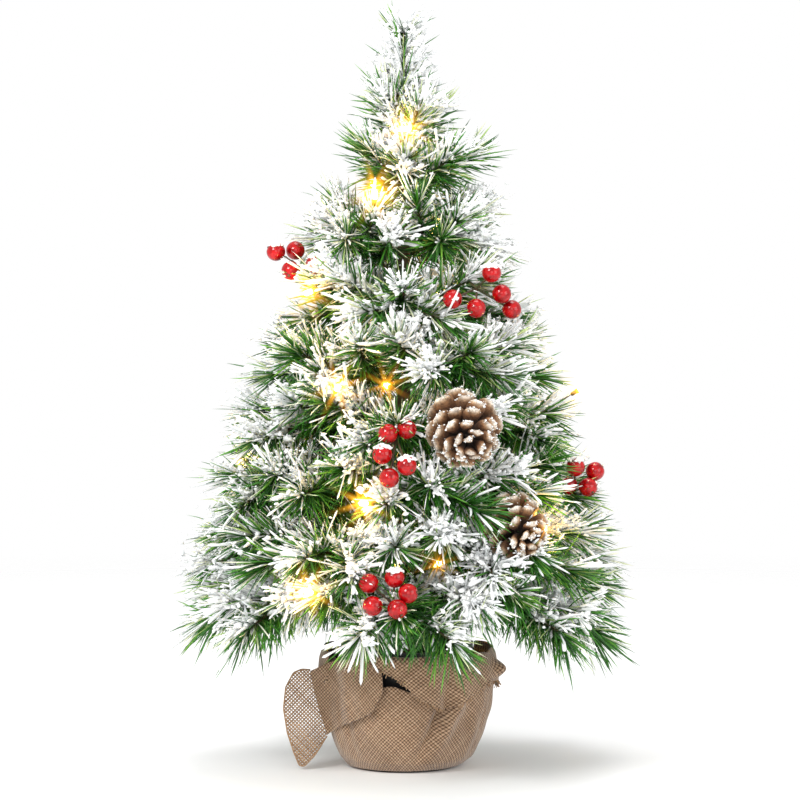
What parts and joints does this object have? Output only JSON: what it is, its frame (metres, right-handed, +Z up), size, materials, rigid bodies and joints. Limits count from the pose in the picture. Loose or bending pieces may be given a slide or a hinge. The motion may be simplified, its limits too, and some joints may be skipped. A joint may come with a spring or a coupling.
{
  "type": "artificial tabletop tree",
  "caption": "Lit tabletop tree with flocked wire branches that bend at the trunk, berries, pine cones and a burlap-wrapped weighted base.",
  "frame": {"origin": "centre of the foot pad's underside, on the trunk's axis", "axes": "+Z up along the trunk, -Y is the front, +X is to the right seen from the front"},
  "size_m": [0.3332, 0.3535, 0.596],
  "materials": {
    "needles": "satin",
    "snow": "matte",
    "lamp": "gloss",
    "berries": "gloss",
    "pine_cone": "matte",
    "foot_pad": "matte",
    "pot": "satin",
    "cement": "matte",
    "burlap": "matte",
    "trunk": "satin",
    "tape": "satin",
    "battery_box": "satin",
    "switch": "satin",
    "cells": "satin",
    "contacts": "polished",
    "wire": "satin"
  },
  "bodies": {
    "base": {"foot_pad": "foot_pad", "base_pot": "pot", "base_weight": "cement", "burlap_wrap": "burlap", "trunk_pole": "trunk", "tape_wraps": "tape", "trunk_lamps": "lamp", "battery_case": "battery_box", "battery_cells": "cells", "battery_contacts": "contacts", "light_string": "wire"},
    "battery_lid": {"battery_lid": "battery_box"},
    "power_switch": {"power_switch": "switch"},
    "branch_1a": {"branch_1a": "needles", "lamp_left_lower": "lamp", "berries_low": "berries"},
    "branch_1b": {"branch_1b": "needles"},
    "branch_1c": {"branch_1c": "needles"},
    "branch_1d": {"branch_1d": "needles"},
    "branch_1e": {"branch_1e": "needles"},
    "branch_1f": {"branch_1f": "needles"},
    "branch_2a": {"branch_2a": "needles", "lamp_right_lower": "lamp", "pine_cone_right": "pine_cone"},
    "branch_2b": {"branch_2b": "needles"},
    "branch_2c": {"branch_2c": "needles"},
    "branch_2d": {"branch_2d": "needles"},
    "branch_2e": {"branch_2e": "needles"},
    "branch_3a": {"branch_3a": "needles", "lamp_centre": "lamp"},
    "branch_3b": {"branch_3b": "needles", "berries_right": "berries"},
    "branch_3c": {"branch_3c": "needles"},
    "branch_3d": {"branch_3d": "needles", "lamp_left_side": "lamp"},
    "branch_4a": {"branch_4a": "needles", "lamp_left_middle": "lamp", "berries_centre": "berries", "pine_cone_front": "pine_cone"},
    "branch_4b": {"branch_4b": "needles", "lamp_right_side": "lamp"},
    "branch_4c": {"branch_4c": "needles", "lamp_back": "lamp"},
    "branch_4d": {"branch_4d": "needles"},
    "branch_5a": {"branch_5a": "needles"},
    "branch_5b": {"branch_5b": "needles"},
    "branch_5c": {"branch_5c": "needles"},
    "branch_5d": {"branch_5d": "needles"},
    "branch_6a": {"branch_6a": "needles", "lamp_left_shoulder": "lamp", "berries_upper_right": "berries"},
    "branch_6b": {"branch_6b": "needles"},
    "branch_6c": {"branch_6c": "needles", "berries_upper_left": "berries"},
    "branch_7a": {"branch_7a": "needles", "lamp_upper_left": "lamp"},
    "branch_7b": {"branch_7b": "needles"},
    "branch_7c": {"branch_7c": "needles"},
    "leader": {"leader": "needles", "lamp_top": "lamp"}
  },
  "joints": [
    {"name": "lid_slide", "type": "slide", "parent": "base", "child": "battery_lid", "axis": [0, 0, 1], "range_m": [0, 0.008]},
    {"name": "switch_slide", "type": "slide", "parent": "base", "child": "power_switch", "axis": [1, 0, 0], "range_m": [-0.004, 0.004]},
    {"name": "leader_bend", "type": "hinge", "parent": "base", "child": "leader", "pos_m": [0, 0, 0.44], "axis": [1, 0, 0], "range_deg": [-35, 35], "deforming": ["leader"]},
    {"name": "bend_1a", "type": "hinge", "parent": "base", "child": "branch_1a", "pos_m": [0, -0.0095, 0.152], "axis": [-1, 0, 0], "range_deg": [-12, 66], "deforming": ["branch_1a", "lamp_left_lower", "berries_low"]},
    {"name": "bend_1b", "type": "hinge", "parent": "base", "child": "branch_1b", "pos_m": [0.00823, -0.00475, 0.152], "axis": [-0.5, -0.866, 0], "range_deg": [-12, 66], "deforming": ["branch_1b"]},
    {"name": "bend_1c", "type": "hinge", "parent": "base", "child": "branch_1c", "pos_m": [0.00823, 0.00475, 0.152], "axis": [0.5, -0.866, 0], "range_deg": [-12, 66], "deforming": ["branch_1c"]},
    {"name": "bend_1d", "type": "hinge", "parent": "base", "child": "branch_1d", "pos_m": [0, 0.0095, 0.152], "axis": [1, 0, 0], "range_deg": [-12, 66], "deforming": ["branch_1d"]},
    {"name": "bend_1e", "type": "hinge", "parent": "base", "child": "branch_1e", "pos_m": [-0.00823, 0.00475, 0.152], "axis": [0.5, 0.866, 0], "range_deg": [-12, 66], "deforming": ["branch_1e"]},
    {"name": "bend_1f", "type": "hinge", "parent": "base", "child": "branch_1f", "pos_m": [-0.00823, -0.00475, 0.152], "axis": [-0.5, 0.866, 0], "range_deg": [-12, 66], "deforming": ["branch_1f"]},
    {"name": "bend_2a", "type": "hinge", "parent": "base", "child": "branch_2a", "pos_m": [0.00636, -0.00706, 0.186], "axis": [-0.7431, -0.6691, 0], "range_deg": [-12, 62], "deforming": ["branch_2a", "lamp_right_lower", "pine_cone_right"]},
    {"name": "bend_2b", "type": "hinge", "parent": "base", "child": "branch_2b", "pos_m": [0.00868, 0.00386, 0.186], "axis": [0.4067, -0.9135, 0], "range_deg": [-12, 62], "deforming": ["branch_2b"]},
    {"name": "bend_2c", "type": "hinge", "parent": "base", "child": "branch_2c", "pos_m": [-0.00099, 0.00945, 0.186], "axis": [0.9945, 0.1045, 0], "range_deg": [-12, 62], "deforming": ["branch_2c"]},
    {"name": "bend_2d", "type": "hinge", "parent": "base", "child": "branch_2d", "pos_m": [-0.00929, 0.00198, 0.186], "axis": [0.2079, 0.9781, 0], "range_deg": [-12, 62], "deforming": ["branch_2d"]},
    {"name": "bend_2e", "type": "hinge", "parent": "base", "child": "branch_2e", "pos_m": [-0.00475, -0.00823, 0.186], "axis": [-0.866, 0.5, 0], "range_deg": [-12, 62], "deforming": ["branch_2e"]},
    {"name": "bend_3a", "type": "hinge", "parent": "base", "child": "branch_3a", "pos_m": [0.00246, -0.00918, 0.222], "axis": [-0.9659, -0.2588, 0], "range_deg": [-12, 57], "deforming": ["branch_3a", "lamp_centre"]},
    {"name": "bend_3b", "type": "hinge", "parent": "base", "child": "branch_3b", "pos_m": [0.00918, 0.00246, 0.222], "axis": [0.2588, -0.9659, 0], "range_deg": [-12, 57], "deforming": ["branch_3b", "berries_right"]},
    {"name": "bend_3c", "type": "hinge", "parent": "base", "child": "branch_3c", "pos_m": [-0.00246, 0.00918, 0.222], "axis": [0.9659, 0.2588, 0], "range_deg": [-12, 57], "deforming": ["branch_3c"]},
    {"name": "bend_3d", "type": "hinge", "parent": "base", "child": "branch_3d", "pos_m": [-0.00918, -0.00246, 0.222], "axis": [-0.2588, 0.9659, 0], "range_deg": [-12, 57], "deforming": ["branch_3d", "lamp_left_side"]},
    {"name": "bend_4a", "type": "hinge", "parent": "base", "child": "branch_4a", "pos_m": [0, -0.0095, 0.262], "axis": [-1, 0, 0], "range_deg": [-12, 51], "deforming": ["branch_4a", "lamp_left_middle", "berries_centre", "pine_cone_front"]},
    {"name": "bend_4b", "type": "hinge", "parent": "base", "child": "branch_4b", "pos_m": [0.0095, 0, 0.262], "axis": [0, -1, 0], "range_deg": [-12, 51], "deforming": ["branch_4b", "lamp_right_side"]},
    {"name": "bend_4c", "type": "hinge", "parent": "base", "child": "branch_4c", "pos_m": [0, 0.0095, 0.262], "axis": [1, 0, 0], "range_deg": [-12, 51], "deforming": ["branch_4c", "lamp_back"]},
    {"name": "bend_4d", "type": "hinge", "parent": "base", "child": "branch_4d", "pos_m": [-0.0095, 0, 0.262], "axis": [0, 1, 0], "range_deg": [-12, 51], "deforming": ["branch_4d"]},
    {"name": "bend_5a", "type": "hinge", "parent": "base", "child": "branch_5a", "pos_m": [0.00475, -0.00823, 0.302], "axis": [-0.866, -0.5, 0], "range_deg": [-12, 45], "deforming": ["branch_5a"]},
    {"name": "bend_5b", "type": "hinge", "parent": "base", "child": "branch_5b", "pos_m": [0.00823, 0.00475, 0.302], "axis": [0.5, -0.866, 0], "range_deg": [-12, 45], "deforming": ["branch_5b"]},
    {"name": "bend_5c", "type": "hinge", "parent": "base", "child": "branch_5c", "pos_m": [-0.00475, 0.00823, 0.302], "axis": [0.866, 0.5, 0], "range_deg": [-12, 45], "deforming": ["branch_5c"]},
    {"name": "bend_5d", "type": "hinge", "parent": "base", "child": "branch_5d", "pos_m": [-0.00823, -0.00475, 0.302], "axis": [-0.5, 0.866, 0], "range_deg": [-12, 45], "deforming": ["branch_5d"]},
    {"name": "bend_6a", "type": "hinge", "parent": "base", "child": "branch_6a", "pos_m": [0, -0.0095, 0.344], "axis": [-1, 0, 0], "range_deg": [-12, 36], "deforming": ["branch_6a", "lamp_left_shoulder", "berries_upper_right"]},
    {"name": "bend_6b", "type": "hinge", "parent": "base", "child": "branch_6b", "pos_m": [0.00823, 0.00475, 0.344], "axis": [0.5, -0.866, 0], "range_deg": [-12, 36], "deforming": ["branch_6b"]},
    {"name": "bend_6c", "type": "hinge", "parent": "base", "child": "branch_6c", "pos_m": [-0.00823, 0.00475, 0.344], "axis": [0.5, 0.866, 0], "range_deg": [-12, 36], "deforming": ["branch_6c", "berries_upper_left"]},
    {"name": "bend_7a", "type": "hinge", "parent": "base", "child": "branch_7a", "pos_m": [-0.00823, -0.00475, 0.388], "axis": [-0.5, 0.866, 0], "range_deg": [-12, 23], "deforming": ["branch_7a", "lamp_upper_left"]},
    {"name": "bend_7b", "type": "hinge", "parent": "base", "child": "branch_7b", "pos_m": [0.00823, -0.00475, 0.388], "axis": [-0.5, -0.866, 0], "range_deg": [-12, 23], "deforming": ["branch_7b"]},
    {"name": "bend_7c", "type": "hinge", "parent": "base", "child": "branch_7c", "pos_m": [0, 0.0095, 0.388], "axis": [1, 0, 0], "range_deg": [-12, 23], "deforming": ["branch_7c"]}
  ]
}
